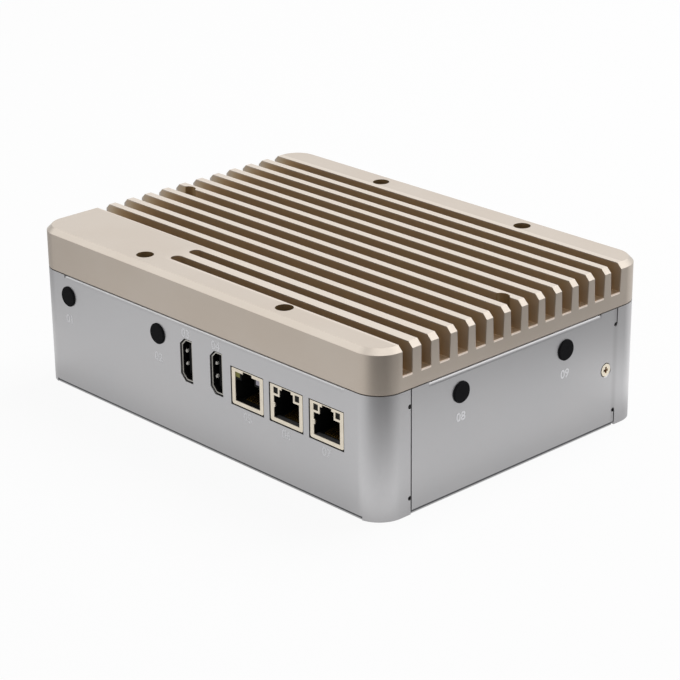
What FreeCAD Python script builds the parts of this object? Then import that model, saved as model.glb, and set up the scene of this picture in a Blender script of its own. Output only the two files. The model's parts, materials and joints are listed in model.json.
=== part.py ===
import FreeCAD
import Part
import math
import os

# Fanless industrial PC: a finned aluminium lid on a folded sheet-metal box that holds a
# board, its sockets and a compute module. Millimetres, +Z up, sockets face -Y.

# Box
case_w = 180.0
case_d = 131.0
chassis_h = 44.5
corner_r = 10.0
sheet_t = 1.2
bend_in = 0.5
seam_from_end = 14.5
seam_gap = 0.5
corner_span = 8.0
relief_r = 0.8
relief_low = 6.0
relief_drop = 5.9
flange_d = 13.0
flange_end_front = 16.0
tab_len = 7.0
fit_gap = 0.1
over = 1.0

# Finned lid
lid_h = 16.0
lid_base_t = 5.7
lid_chamfer = 1.9
lid_edge = 0.4
slot_pitch = 8.52
slot_floor_w = 4.8
slot_top_w = 5.6
slot_web = 0.45
slot_back_web = 1.65
short_slots = 2
short_slot_w = 4.5
short_slot_start = 63.3
lid_screw_left = 55.0
lid_screw_right = 51.8
lid_screw_in = 7.2
lid_screw_side_in = 8.5
counterbore_r = 3.15
seat_t = 3.0

# Bottom cover
cover_t = 1.2
cover_gap = 0.2
cover_inset = 0.4
ear_w = 13.0
ear_h = 26.0
ear_t = 1.2
mount_x = 150.0
mount_y = 95.0
mount_hole_r = 2.0
mount_nut_r = 3.6
mount_nut_t = 2.0

# M3 screws and clinch nuts
screw_r = 1.5
screw_tip = 1.0
head_r = 2.75
head_t = 1.9
thread_gap = 0.05
nut_r = 2.9
nut_t = 1.5
side_screw_back = 19.4
side_screw_z = 22.5
countersink_r = 2.7
countersink_d = 1.1
cross_w = 0.6
cross_l = 2.6

# Board
board_top = 22.2
board_t = 1.6
board_side = 6.0
board_end = 2.0
board_corner_less = 6.0
stand_across = 6.0
stand_side = 11.5
stand_clear = 1.5
stand_thread = 6.0

# Network jacks
jack_count = 3
jack_web = 2.75
jack_margin = 16.45
jack_w = 15.9
jack_h = 13.3
jack_d = 21.0
jack_in = 0.2
jack_skin = 0.3
jack_round = 0.8
cut_gap = 0.45
mouth_w = 12.5
mouth_floor = 1.4
mouth_d = 14.5
latch_w = 6.7
latch_roof = 1.2
gate_w = 4.5
light_w = 2.2
light_h = 2.3
light_d = 3.0
light_in = 1.6
light_drop = 0.8
light_bar = 0.8
contact_count = 8
contact_w = 0.45
contact_pitch = 1.02
contact_back = 2.5
contact_rise = 2.1
contact_t = 0.5
filter_d = 11.0
filter_h = 6.0
filter_behind = 3.5

# Video sockets
video_count = 2
video_space = 10.3
video_to_jack = 5.1
video_rise = 8.6
video_in = 0.5
video_h = 15.1
video_w = 5.6
video_bevel = 2.1
video_skin = 0.4
video_d = 11.8
video_cut_gap = 0.5
video_back_t = 3.0
video_tongue_t = 1.7
video_tongue_h = 11.0
video_tongue_in = 1.6
video_foot_in = 3.0
dimple_r = 0.45
dimple_rise = 0.3
dimple_z = 2.9
dimple_in = 2.2

# Antenna holes and their rubber plugs
antenna_drop = 7.9
antenna_hole_r = 3.2
plug_r = 3.8
plug_head_t = 0.7
plug_neck_gap = 0.05
plug_barb_r = 3.6
plug_barb_l = 1.8
plug_barb_rim = 0.6
plug_tip_less = 0.5
antenna_edge = 18.1
antenna_to_video = 12.5
antenna_side_front = 37.9
antenna_side_back = 41.4

# Rear sockets and controls
rear_rise = 8.2
usb_w = 14.3
usb_h = 15.6
usb_d = 17.5
usb_skin = 0.35
usb_mouth_w = 12.6
usb_mouth_h = 5.2
usb_mouth_d = 12.0
usb_pitch = 7.4
usb_tongue_t = 1.8
usb_tongue_in = 0.8
usb_tongue_drop = 0.6
terminal_edge = 24.0
terminal_poles = 3
terminal_pitch = 5.08
signal_edge = 46.0
signal_poles = 6
signal_pitch = 3.5
terminal_h = 8.6
terminal_d = 12.0
terminal_wall = 1.0
terminal_back = 2.5
pin_w = 1.0
pin_l = 7.0
button_edge = 52.0
button_r = 4.0
button_bevel = 0.5
button_gap = 0.3
button_flange_r = 4.9
button_flange_t = 1.0
button_stem_r = 1.75
button_stem_l = 2.5
button_travel = 0.8
switch_w = 11.0
switch_d = 6.0
switch_clear = 0.4
pipe_r = 1.5
pipe_count = 2
pipe_pitch = 6.0
pipe_l = 4.0
pipe_to_button = 16.0
usb_to_pipe = 22.0

# Compute module and its heat path
module_x = 12.0
module_y = 3.0
module_w = 69.6
module_d = 45.0
module_t = 1.2
module_rise = 5.0
module_hole_in = 4.0
connector_w = 46.0
connector_d = 5.2
connector_step = 1.0
connector_in = 3.5
chip_w = 22.0
chip_t = 1.5
memory_w = 10.0
memory_d = 13.0
memory_t = 0.9
memory_gap = 2.0
pad_t = 1.0
post_r = 2.6
post_head_t = 1.2
block_in = 2.0
block_pocket = 2.5
block_screw_in = 12.0
block_screw_deep = 3.2
thread_end = 1.5

# Storage, clock cell and parts on the board
ssd_l = 80.0
ssd_w = 22.0
ssd_t = 0.8
ssd_chip_w = 16.0
ssd_chip_l = 18.0
ssd_chip_t = 1.2
ssd_chip_pitch = 21.0
ssd_drop = 3.4
ssd_from_left = 10.0
ssd_y = 14.0
ssd_socket_l = 9.0
ssd_socket_h = 4.6
cell_r = 10.0
cell_t = 3.2
cell_floor = 1.0
cell_wall = 1.4
cell_mouth = 8.0
cell_from_left = 26.0
cell_y = -12.0
capacitor_r = 4.0
capacitor_h = 11.0
capacitor_pitch = 10.5
capacitor_side = 18.0
capacitor_end = 47.0
coil_w = 10.0
coil_h = 5.0
coil_pitch = 13.0
coil_side = 24.0
coil_end = 33.0
chip_big_w = 14.0
chip_big_t = 1.4
chip_big_end = 36.0
chip_gap = 7.0

case_h = chassis_h + lid_h
half_w = case_w / 2
half_d = case_d / 2
inner_x = half_w - sheet_t
inner_y = half_d - sheet_t
seam_y = half_d - seam_from_end
relief_high = chassis_h - relief_drop
floor_z = cover_t + cover_gap
bend_out = bend_in + sheet_t
board_low = board_top - board_t
board_hw = half_w - board_side
board_hd = half_d - board_end
stand_r = stand_across / math.sqrt(3)
flange_end_side = flange_d + 2 * stand_r + 2 * stand_clear
slot_z = chassis_h + lid_base_t
slot_front = lid_screw_in + counterbore_r + slot_web
slot_back_land = lid_screw_in + counterbore_r + slot_back_web

jack_face = -half_d + jack_in
jack_pitch = jack_w + 2 * cut_gap + jack_web
jack_xs = [half_w - jack_margin - jack_w / 2 - jack_pitch * i for i in range(jack_count)][::-1]
mouth_h = jack_h - mouth_floor - light_bar - light_h - light_drop
mouth_z = board_top + mouth_floor
video_face = -half_d + video_in
video_z = board_top + video_rise
video_right = jack_xs[0] - jack_w / 2 - video_to_jack - video_w / 2
video_xs = [video_right - (video_w + video_space) * i for i in range(video_count)][::-1]
antenna_z = chassis_h - antenna_drop
front_antenna_xs = [-half_w + antenna_edge, video_xs[0] - video_w / 2 - antenna_to_video]
side_antenna_ys = [-half_d + antenna_side_front, half_d - antenna_side_back]
rear_z = board_top + rear_rise
rear_face = half_d - jack_in
terminal_x = half_w - terminal_edge
signal_x = -half_w + signal_edge
button_x = half_w - button_edge
pipe_xs = [button_x - pipe_to_button - pipe_pitch * i for i in range(pipe_count)]
usb_x = pipe_xs[0] - usb_to_pipe
usb_zs = [board_top + usb_h / 2 + side * usb_pitch / 2 for side in (-1, 1)]

module_low = board_top + module_rise
module_high = module_low + module_t
chip_top = module_high + chip_t
block_low = chip_top + pad_t
ssd_x = -board_hw + ssd_from_left
ssd_z = board_low - ssd_drop
cell_x = -board_hw + cell_from_left


def four_spots(x, y, mid_x=0.0, mid_y=0.0):
    """The corners of a rectangle with the given half sizes."""
    return [(mid_x + sx * x, mid_y + sy * y) for sx in (-1, 1) for sy in (-1, 1)]


stand_spots = four_spots(half_w - stand_side, half_d - flange_d - stand_r - stand_clear)
mount_spots = four_spots(mount_x / 2, mount_y / 2)
module_spots = four_spots(module_w / 2 - module_hole_in, module_d / 2 - module_hole_in, module_x, module_y)
block_spots = four_spots(module_w / 2 - block_screw_in, module_d / 2 - block_screw_in / 2, module_x, module_y)
side_screw_y = half_d - side_screw_back
lid_screw_y = half_d - lid_screw_in
lid_screw_spots = [(x, side * lid_screw_y)
                   for x in (-half_w + lid_screw_left, half_w - lid_screw_right) for side in (-1, 1)]
lid_screw_spots += [(side * (half_w - lid_screw_side_in), 0.0) for side in (-1, 1)]

# The plugs stand proud on the right only, so the middle of the whole part lies a little
# to the right of the middle of the box.
to_origin = FreeCAD.Vector(-plug_head_t / 2, 0, 0)


def box(x0, x1, y0, y1, z0, z1):
    return Part.makeBox(x1 - x0, y1 - y0, z1 - z0, FreeCAD.Vector(x0, y0, z0))


def block(x, y, z, w, d, h):
    """A box centred on x and y that stands on z."""
    return box(x - w / 2, x + w / 2, y - d / 2, y + d / 2, z, z + h)


def rod(x, y, z, r, h, axis=(0, 0, 1)):
    return Part.makeCylinder(r, h, FreeCAD.Vector(x, y, z), FreeCAD.Vector(*axis))


def tube(x, y, z, r, hole_r, h, axis=(0, 0, 1)):
    return rod(x, y, z, r, h, axis).cut(rod(x, y, z, hole_r, h, axis))


def prism(points, direction):
    """A prism on a closed outline of (x, y, z) points."""
    corners = [FreeCAD.Vector(*p) for p in points]
    return Part.Face(Part.makePolygon(corners + corners[:1])).extrude(FreeCAD.Vector(*direction))


def hexagon(x, y, z, across, h):
    """A six-sided prism of the given width across its flats."""
    r = across / math.sqrt(3)
    turns = [math.radians(60 * i) for i in range(6)]
    return prism([(x + r * math.cos(a), y + r * math.sin(a), z) for a in turns], (0, 0, h))


def rounded_box(w, d, z0, z1, r):
    solid = block(0, 0, z0, w, d, z1 - z0)
    upright = [e for e in solid.Edges if abs(e.BoundBox.ZLength - (z1 - z0)) < 1e-6]
    return solid.makeFillet(r, upright)


def edges_at(solid, z):
    """The edges that lie wholly at one height."""
    return [e for e in solid.Edges if abs(e.BoundBox.ZMin - z) < 1e-6 and abs(e.BoundBox.ZMax - z) < 1e-6]


def moved(shape, x, y, z=0.0):
    copy = shape.copy()
    copy.translate(FreeCAD.Vector(x, y, z))
    return copy


def turned(shape, angle, axis=(0, 0, 1)):
    copy = shape.copy()
    copy.rotate(FreeCAD.Vector(0, 0, 0), FreeCAD.Vector(*axis), angle)
    return copy


def save(name, *solids):
    shape = solids[0] if len(solids) == 1 else Part.makeCompound(list(solids))
    moved(shape, to_origin.x, to_origin.y, to_origin.z).exportStep("parts/" + name + ".step")


# Finned lid
def slot_middles():
    room = case_d - slot_front - slot_back_land - slot_floor_w
    first = -half_d + slot_front + short_slot_w / 2
    return [first + slot_pitch * i for i in range(1 + int(room / slot_pitch))]


def full_slot(y):
    """A slot over the whole length that widens towards the fin tips."""
    top = case_h + over
    grow = (slot_top_w - slot_floor_w) / 2 * (top - slot_z) / (case_h - slot_z)
    low, high = slot_floor_w / 2, slot_floor_w / 2 + grow
    x = -half_w - over
    outline = [(x, y - low, slot_z), (x, y + low, slot_z), (x, y + high, top), (x, y - high, top)]
    return prism(outline, (case_w + 2 * over, 0, 0))


def short_slot(y):
    """A milled slot that starts round and runs out at the right end."""
    r = short_slot_w / 2
    start = -half_w + short_slot_start + r
    run = box(start, half_w + over, y - r, y + r, slot_z, case_h + over)
    return run.fuse(rod(start, y, slot_z, r, case_h + over - slot_z))


def heatsink_lid():
    lid = rounded_box(case_w, case_d, chassis_h, case_h, corner_r)
    lid = lid.makeChamfer(lid_chamfer, edges_at(lid, case_h))
    lid = lid.makeChamfer(lid_edge, edges_at(lid, chassis_h))
    middles = slot_middles()
    cuts = [short_slot(y) for y in middles[:short_slots]] + [full_slot(y) for y in middles[short_slots:]]
    for x, y in lid_screw_spots:
        cuts.append(rod(x, y, chassis_h - over, screw_r + fit_gap, lid_h))
        cuts.append(rod(x, y, chassis_h + seat_t, counterbore_r, lid_h))
    cuts += [rod(x, y, chassis_h, screw_r + thread_gap, lid_base_t - thread_end)
             for x, y in block_spots + stand_spots]
    return lid.cut(cuts)


def pan_screw(x, y, seat, length, way):
    """A pan-head screw with its head's seat at z = seat; way is -1 where the shank points down."""
    head = rod(x, y, seat, head_r, head_t, (0, 0, -way))
    return head.fuse(rod(x, y, seat, screw_r, length, (0, 0, way)))


def lid_screws():
    length = seat_t + sheet_t + nut_t + screw_tip
    return [pan_screw(x, y, chassis_h + seat_t, length, -1) for x, y in lid_screw_spots]


def flange_nuts():
    z = chassis_h - sheet_t - nut_t
    return [tube(x, y, z, nut_r, screw_r + thread_gap, nut_t) for x, y in lid_screw_spots]


# Folded box
def wall_ring():
    outer = rounded_box(case_w, case_d, 0, chassis_h, corner_r)
    w, d = case_w - 2 * sheet_t, case_d - 2 * sheet_t
    return outer.cut(rounded_box(w, d, -over, chassis_h + over, corner_r - sheet_t))


def add_flange(wall, length, angle, reach):
    """Folds the top of one wall inwards; the wall's outer face is reach from the middle."""
    top, half = chassis_h, length / 2
    gap = box(-half, half, -over, sheet_t + fit_gap, top - bend_out, top + over)
    bend = rod(-half, bend_out, top - bend_out, bend_out, length, (1, 0, 0))
    bend = bend.cut(rod(-half, bend_out, top - bend_out, bend_in, length, (1, 0, 0)))
    bend = bend.common(box(-half, half, 0, bend_out, top - bend_out, top))
    plate = box(-half, half, bend_out, flange_d, top - sheet_t, top)
    gap, bend, plate = [turned(moved(s, 0, -reach), angle) for s in (gap, bend, plate)]
    return wall.cut(gap).fuse([bend, plate])


def flange_holes(spots):
    return [rod(x, y, chassis_h - sheet_t - over, screw_r + fit_gap, sheet_t + 2 * over) for x, y in spots]


def relief_holes(y):
    """Round holes through both side walls where a cut in the sheet ends."""
    x, length = -half_w - over, case_w + 2 * over
    return [rod(x, y, z, relief_r, length, (1, 0, 0)) for z in (relief_low, relief_high)]


def jack_cut(x):
    half = jack_w / 2 + cut_gap
    return box(x - half, x + half, -half_d - over, -inner_y + over, board_top - cut_gap,
               board_top + jack_h + cut_gap)


def video_outline(x, y, grow):
    """The socket's outline, stood on end: its wide side faces +X and the other one is bevelled."""
    w, h = video_w / 2 + grow, video_h / 2 + grow
    b = video_bevel + grow * (2 - math.sqrt(2))
    points = [(w, -h), (w, h), (b - w, h), (-w, h - b), (-w, b - h), (b - w, -h)]
    return [(x + px, y, video_z + pz) for px, pz in points]


def front_cuts():
    y, through = -half_d - over, sheet_t + 2 * over
    cuts = [jack_cut(x) for x in jack_xs]
    cuts += [prism(video_outline(x, y, video_cut_gap), (0, through, 0)) for x in video_xs]
    cuts += [rod(x, y, antenna_z, antenna_hole_r, through, (0, 1, 0)) for x in front_antenna_xs]
    return cuts


def joggled_tab(side):
    """A tab set in behind the side wall, which passes over it."""
    low, high = relief_low + relief_r, relief_high - relief_r
    outer = inner_x - fit_gap
    x0, x1 = sorted((side * (outer - sheet_t), side * outer))
    tab = box(x0, x1, -seam_y, -seam_y + tab_len, low, high)
    x0, x1 = sorted((side * (outer - sheet_t), side * inner_x))
    return [tab, box(x0, x1, -seam_y - 2 * sheet_t, -seam_y, low, high)]


def front_panel():
    wall = wall_ring().common(box(-half_w, half_w, -half_d, -seam_y, 0, chassis_h))
    span = half_w - corner_span
    wall = wall.cut(box(-span, span, -half_d - over, -inner_y + over, -over, floor_z))
    wall = add_flange(wall, case_w - 2 * flange_end_front, 0, half_d)
    cuts = front_cuts() + flange_holes([s for s in lid_screw_spots if s[1] < -seam_y])
    wall = wall.cut(cuts + relief_holes(-seam_y - relief_r / 2))
    return wall.fuse(joggled_tab(-1) + joggled_tab(1)).removeSplitter()


def side_rear_shell():
    wall = wall_ring().common(box(-half_w, half_w, -seam_y + seam_gap, half_d, 0, chassis_h))
    span = half_w - corner_span
    wall = wall.cut([box(-span, span, inner_y - over, half_d + over, -over, floor_z),
                     box(-half_w - over, half_w + over, -half_d, seam_y, -over, floor_z)])
    for angle in (-90, 90):
        wall = add_flange(wall, case_d - 2 * flange_end_side, angle, half_w)
    wall = add_flange(wall, case_w - 2 * flange_end_front, 180, half_d)
    slits = [box(-half_w - over, half_w + over, seam_y, seam_y + seam_gap, z0, z1)
             for z0, z1 in ((-over, relief_low), (relief_high, chassis_h + over))]
    cuts = slits + relief_holes(seam_y - relief_r / 2) + rear_cuts()
    cuts += flange_holes([s for s in lid_screw_spots if s[1] > -seam_y])
    cuts += [rod(inner_x - over, y, antenna_z, antenna_hole_r, sheet_t + 2 * over, (1, 0, 0))
             for y in side_antenna_ys]
    cuts += [countersunk(side, fit_gap, 2 * sheet_t) for side in (-1, 1)]
    return wall.cut(cuts).removeSplitter()


def countersunk(side, grow, length):
    """The form of a countersunk screw, driven in through a side wall."""
    face = FreeCAD.Vector(side * half_w, side_screw_y, side_screw_z)
    inward = FreeCAD.Vector(-side, 0, 0)
    cone = Part.makeCone(countersink_r + grow, screw_r + grow, countersink_d, face, inward)
    return cone.fuse(Part.makeCylinder(screw_r + grow, length, face, inward))


def side_screws():
    screws = []
    for side in (-1, 1):
        screw = countersunk(side, 0, sheet_t + fit_gap + ear_t + nut_t)
        x0, x1 = sorted((side * (half_w - countersink_d), side * (half_w + over)))
        y, z = side_screw_y, side_screw_z
        arms = [box(x0, x1, y - w / 2, y + w / 2, z - h / 2, z + h / 2)
                for w, h in ((cross_l, cross_w), (cross_w, cross_l))]
        screws.append(screw.cut(arms))
    return screws


def bottom_cover():
    span_x = half_w - corner_span - cover_inset
    span_y = seam_y - cover_inset
    inner = sheet_t + cover_inset
    plate = rounded_box(case_w - 2 * inner, case_d - 2 * inner, 0, cover_t, corner_r - inner)
    plate = plate.fuse([box(-span_x, span_x, -half_d + cover_inset, half_d - cover_inset, 0, cover_t),
                        box(-half_w + cover_inset, half_w - cover_inset, -span_y, span_y, 0, cover_t)])
    outer = inner_x - fit_gap
    for side in (-1, 1):
        x0, x1 = sorted((side * outer, side * (outer - ear_t)))
        ear = box(x0, x1, side_screw_y - ear_w / 2, side_screw_y + ear_w / 2, 0, cover_t + ear_h)
        hole = rod(x0, side_screw_y, side_screw_z, screw_r + thread_gap, ear_t, (1, 0, 0))
        plate = plate.fuse(ear.cut(hole))
    holes = [rod(x, y, 0, mount_hole_r, cover_t) for x, y in mount_spots]
    return plate.cut(holes).removeSplitter()


def cover_nuts():
    nuts = [tube(x, y, cover_t, mount_nut_r, mount_hole_r, mount_nut_t) for x, y in mount_spots]
    for side in (-1, 1):
        x = side * (inner_x - fit_gap - ear_t)
        nuts.append(tube(x, side_screw_y, side_screw_z, nut_r, screw_r + thread_gap, nut_t, (-side, 0, 0)))
    return nuts


# Antenna plugs
def antenna_plug():
    """A rubber plug along +Z: the sheet's face is at z = 0 and the barb grips behind the sheet."""
    v = FreeCAD.Vector
    neck = antenna_hole_r - plug_neck_gap
    rim = plug_head_t / 2
    tip = -sheet_t - plug_barb_l
    path = [v(plug_r - rim, 0, plug_head_t), v(0, 0, plug_head_t), v(0, 0, tip),
            v(neck - plug_tip_less, 0, tip), v(plug_barb_r, 0, -sheet_t - plug_barb_rim),
            v(plug_barb_r, 0, -sheet_t), v(neck, 0, -sheet_t), v(neck, 0, 0), v(plug_r, 0, 0),
            v(plug_r, 0, plug_head_t - rim)]
    return Part.Face(Part.makePolygon(path + path[:1])).revolve(v(0, 0, 0), v(0, 0, 1), 360)


def antenna_plugs():
    front = turned(antenna_plug(), 90, (1, 0, 0))
    side = turned(antenna_plug(), 90, (0, 1, 0))
    plugs = [moved(front, x, -half_d, antenna_z) for x in front_antenna_xs]
    return plugs + [moved(side, half_w, y, antenna_z) for y in side_antenna_ys]


# Network jacks
def mouth_cut(x, y0, y1):
    """The jack's mouth with the latch's stepped notch above it."""
    latch_top = board_top + jack_h - latch_roof
    return box(x - mouth_w / 2, x + mouth_w / 2, y0, y1, mouth_z, mouth_z + mouth_h).fuse(
        box(x - latch_w / 2, x + latch_w / 2, y0, y1, mouth_z + mouth_h, latch_top))


def latch_gate(x, y0, y1):
    """The narrow front of the notch, which reaches up to the shield's roof."""
    return box(x - gate_w / 2, x + gate_w / 2, y0, y1, mouth_z + mouth_h, board_top + jack_h - jack_skin)


def light_boxes(x, y0, y1):
    top = board_top + jack_h - light_drop
    lows = (x - jack_w / 2 + light_in, x + jack_w / 2 - light_in - light_w)
    return [box(low, low + light_w, y0, y1, top - light_h, top) for low in lows]


def jack_shield(x, one_opening):
    """The folded shield; its front has windows for the lights, or one opening for everything."""
    y0, y1 = jack_face, jack_face + jack_d
    half = jack_w / 2
    hull = box(x - half, x + half, y0, y1, board_top, board_top + jack_h)
    rails = [e for e in edges_at(hull, board_top) if e.BoundBox.YLength > jack_skin]
    hull = hull.makeFillet(jack_round, rails)
    hull = hull.cut(box(x - half + jack_skin, x + half - jack_skin, y0 + jack_skin, y1 - jack_skin,
                        board_top - over, board_top + jack_h - jack_skin))
    front = (y0 - over, y0 + jack_skin)
    cuts = [mouth_cut(x, *front), latch_gate(x, *front)]
    if one_opening:
        cuts.append(box(x - mouth_w / 2, x + mouth_w / 2, *front, mouth_z + mouth_h,
                        board_top + jack_h - latch_roof))
    else:
        cuts += light_boxes(x, *front)
    return hull.cut(cuts)


def jack_insert(x):
    y0 = jack_face + jack_skin
    half = jack_w / 2 - jack_skin
    y1, top = jack_face + jack_d - jack_skin, board_top + jack_h - jack_skin
    body = box(x - half, x + half, y0, y1, board_top, top)
    cuts = [mouth_cut(x, y0 - over, y0 + mouth_d), latch_gate(x, y0 - over, y0 + mouth_d / 2)]
    return body.cut(cuts + light_boxes(x, y0 - over, y0 + light_d))


def jack_contacts(x):
    """Sprung wires that rise from the floor of the mouth towards its back."""
    front = jack_face + jack_skin + contact_back
    back = jack_face + jack_skin + mouth_d
    wires = []
    for i in range(contact_count):
        wx = x + (i - (contact_count - 1) / 2) * contact_pitch - contact_w / 2
        outline = [(wx, front, mouth_z), (wx, front + contact_t, mouth_z), (wx, back, mouth_z + contact_rise),
                   (wx, back, mouth_z + contact_rise + contact_t), (wx, front, mouth_z + contact_t)]
        wires.append(prism(outline, (contact_w, 0, 0)))
    return wires


def jack_lights():
    y0 = jack_face + jack_skin
    return [light for x in jack_xs for light in light_boxes(x, y0, y0 + light_d)]


def jack_filters():
    y = jack_face + jack_d + filter_behind + filter_d / 2
    return [block(x, y, board_top, jack_w, filter_d, filter_h) for x in jack_xs]


# Video sockets
def video_shell(x):
    shell = prism(video_outline(x, video_face, 0), (0, video_d, 0))
    bore = prism(video_outline(x, video_face - over, -video_skin), (0, video_d + 2 * over, 0))
    wall = x - video_w / 2 + video_skin
    dimples = [rod(wall - video_skin / 2, video_face + dimple_in, video_z + side * dimple_z, dimple_r,
                   video_skin / 2 + dimple_rise, (1, 0, 0)) for side in (-1, 1)]
    return shell.cut(bore).fuse(dimples)


def video_insert(x):
    back_y = video_face + video_d - video_back_t
    back = prism(video_outline(x, back_y, -video_skin), (0, video_back_t, 0))
    tongue = box(x - video_tongue_t / 2, x + video_tongue_t / 2, video_face + video_tongue_in, back_y,
                 video_z - video_tongue_h / 2, video_z + video_tongue_h / 2)
    foot = box(x - video_w / 2 + video_bevel, x + video_w / 2, video_face + video_foot_in,
               video_face + video_d, board_top, video_z - video_h / 2)
    return [back.fuse(tongue), foot]


# Boards and the compute module
def mainboard():
    board = rounded_box(2 * board_hw, 2 * board_hd, board_low, board_top, corner_r - board_corner_less)
    spots = stand_spots + module_spots
    return board.cut([rod(x, y, board_low, screw_r + fit_gap, board_t) for x, y in spots])


def board_posts():
    """Hexagonal posts that are screwed up into the lid with a stud and carry the board."""
    posts = []
    for x, y in stand_spots:
        post = hexagon(x, y, board_top, stand_across, chassis_h - board_top)
        stud = rod(x, y, chassis_h, screw_r, lid_base_t - thread_end - fit_gap)
        hole = rod(x, y, board_top, screw_r + thread_gap, stand_thread + screw_tip)
        posts.append(post.fuse(stud).cut(hole))
    return posts


def board_screws():
    return [pan_screw(x, y, board_low, board_t + stand_thread, 1) for x, y in stand_spots]


def module_board():
    board = block(module_x, module_y, module_low, module_w, module_d, module_t)
    return board.cut([rod(x, y, module_low, screw_r + fit_gap, module_t) for x, y in module_spots])


def module_posts():
    return [tube(x, y, board_top, post_r, screw_r + thread_gap, module_rise) for x, y in module_spots]


def module_screws():
    length = module_t + module_rise + board_t
    return [rod(x, y, module_high, post_r, post_head_t).fuse(rod(x, y, module_high - length, screw_r, length))
            for x, y in module_spots]


def module_connector():
    """A board-to-board connector: a wider socket below a narrower plug."""
    y = module_y + module_d / 2 - connector_in
    half = module_rise / 2
    w, d = connector_w - connector_step, connector_d - connector_step
    lower = block(module_x, y, board_top, connector_w, connector_d, half)
    upper = block(module_x, y, board_top + half, w, d, half)
    return lower.fuse(upper)


def module_chips():
    """One processor with two memory chips on each side of it."""
    chips = [block(module_x, module_y, module_high, chip_w, chip_w, chip_t)]
    reach = chip_w / 2 + memory_gap + memory_w / 2
    spots = four_spots(reach, (memory_d + memory_gap) / 2, module_x, module_y)
    return chips + [block(x, y, module_high, memory_w, memory_d, memory_t) for x, y in spots]


def thermal_pad():
    return block(module_x, module_y, chip_top, chip_w, chip_w, pad_t)


def heat_block():
    """The solid block that carries heat from the module up to the lid, pocketed over the screws."""
    w, d = module_w - 2 * block_in, module_d - 2 * block_in
    solid = block(module_x, module_y, block_low, w, d, chassis_h - block_low)
    cuts = [rod(x, y, block_low, post_r + fit_gap, block_pocket) for x, y in module_spots]
    cuts += [rod(x, y, block_low, head_r + fit_gap, block_screw_deep) for x, y in block_spots]
    cuts += [rod(x, y, block_low, screw_r + fit_gap, chassis_h - block_low) for x, y in block_spots]
    return solid.cut(cuts)


def block_screws():
    seat = block_low + block_screw_deep
    length = chassis_h - seat + lid_base_t - thread_end - fit_gap
    return [pan_screw(x, y, seat, length, 1) for x, y in block_spots]


# Storage, clock cell and parts on the board
def ssd():
    end = ssd_x + ssd_l
    card = box(ssd_x, end, ssd_y - ssd_w / 2, ssd_y + ssd_w / 2, ssd_z, ssd_z + ssd_t)
    chips = [block(end - ssd_chip_pitch * i, ssd_y, ssd_z - ssd_chip_t, ssd_chip_l, ssd_chip_w, ssd_chip_t)
             for i in (1, 2, 3)]
    return card.cut(rod(end, ssd_y, ssd_z, screw_r + fit_gap, ssd_t)).fuse(chips)


def ssd_socket():
    x0 = ssd_x - ssd_socket_l / 2
    half = ssd_w / 2
    solid = box(x0, x0 + ssd_socket_l, ssd_y - half, ssd_y + half, board_low - ssd_socket_h, board_low)
    x1, reach = x0 + ssd_socket_l + over, half + over
    return solid.cut(box(ssd_x, x1, ssd_y - reach, ssd_y + reach, ssd_z, ssd_z + ssd_t))


def ssd_screw():
    end = ssd_x + ssd_l
    post = tube(end, ssd_y, ssd_z + ssd_t, post_r, screw_r + thread_gap, ssd_drop - ssd_t)
    return [post, pan_screw(end, ssd_y, ssd_z, ssd_drop, 1)]


def coin_holder():
    outer = cell_r + cell_wall
    floor = board_top + cell_floor
    solid = rod(cell_x, cell_y, board_top, outer, cell_floor + cell_t)
    pocket = rod(cell_x, cell_y, floor, cell_r + fit_gap, cell_t)
    mouth = box(cell_x - cell_mouth / 2, cell_x + cell_mouth / 2, cell_y, cell_y + outer + over, floor,
                floor + cell_t)
    return solid.cut([pocket, mouth])


def coin_cell():
    return rod(cell_x, cell_y, board_top + cell_floor, cell_r, cell_t)


def board_parts():
    """Filter blocks behind the jacks, power coils and a large chip."""
    coils = [block(half_w - coil_side - coil_pitch * i, half_d - coil_end, board_top, coil_w, coil_w, coil_h)
             for i in range(2)]
    chip_x = module_x - module_w / 2 - chip_gap - chip_big_w / 2
    chip = block(chip_x, half_d - chip_big_end, board_top, chip_big_w, chip_big_w, chip_big_t)
    return jack_filters() + coils + [chip]


def capacitors():
    return [rod(half_w - capacitor_side, half_d - capacitor_end - capacitor_pitch * i, board_top, capacitor_r,
                capacitor_h) for i in range(3)]


# Rear sockets and controls
def usb_mouths(y0, y1):
    w, h = usb_mouth_w / 2, usb_mouth_h / 2
    return [box(usb_x - w, usb_x + w, y0, y1, z - h, z + h) for z in usb_zs]


def usb_shell():
    half, low, top = usb_w / 2, board_top, board_top + usb_h
    shell = box(usb_x - half, usb_x + half, rear_face - usb_d, rear_face, low, top)
    inside = box(usb_x - half + usb_skin, usb_x + half - usb_skin, rear_face - usb_d - over,
                 rear_face - usb_skin, low - over, top - usb_skin)
    return shell.cut([inside] + usb_mouths(rear_face - over, rear_face + over))


def usb_insert():
    front = rear_face - usb_skin
    half = usb_w / 2 - usb_skin
    body = box(usb_x - half, usb_x + half, rear_face - usb_d, front, board_top, board_top + usb_h - usb_skin)
    body = body.cut(usb_mouths(front - usb_mouth_d, front + over))
    inset = usb_mouth_w / 2 - usb_tongue_in
    tops = [z + usb_mouth_h / 2 - usb_tongue_drop for z in usb_zs]
    return body.fuse([box(usb_x - inset, usb_x + inset, front - usb_mouth_d, front - usb_tongue_in,
                          top - usb_tongue_t, top) for top in tops])


def terminal(x, poles, pitch):
    """A header for a plug-in terminal block."""
    half = poles * pitch / 2
    wall, top = terminal_wall, board_top + terminal_h
    solid = box(x - half - wall, x + half + wall, rear_face - terminal_d, rear_face, board_top, top)
    return solid.cut(box(x - half, x + half, rear_face - terminal_d + terminal_back, rear_face + over,
                         board_top + wall, top - wall))


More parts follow.
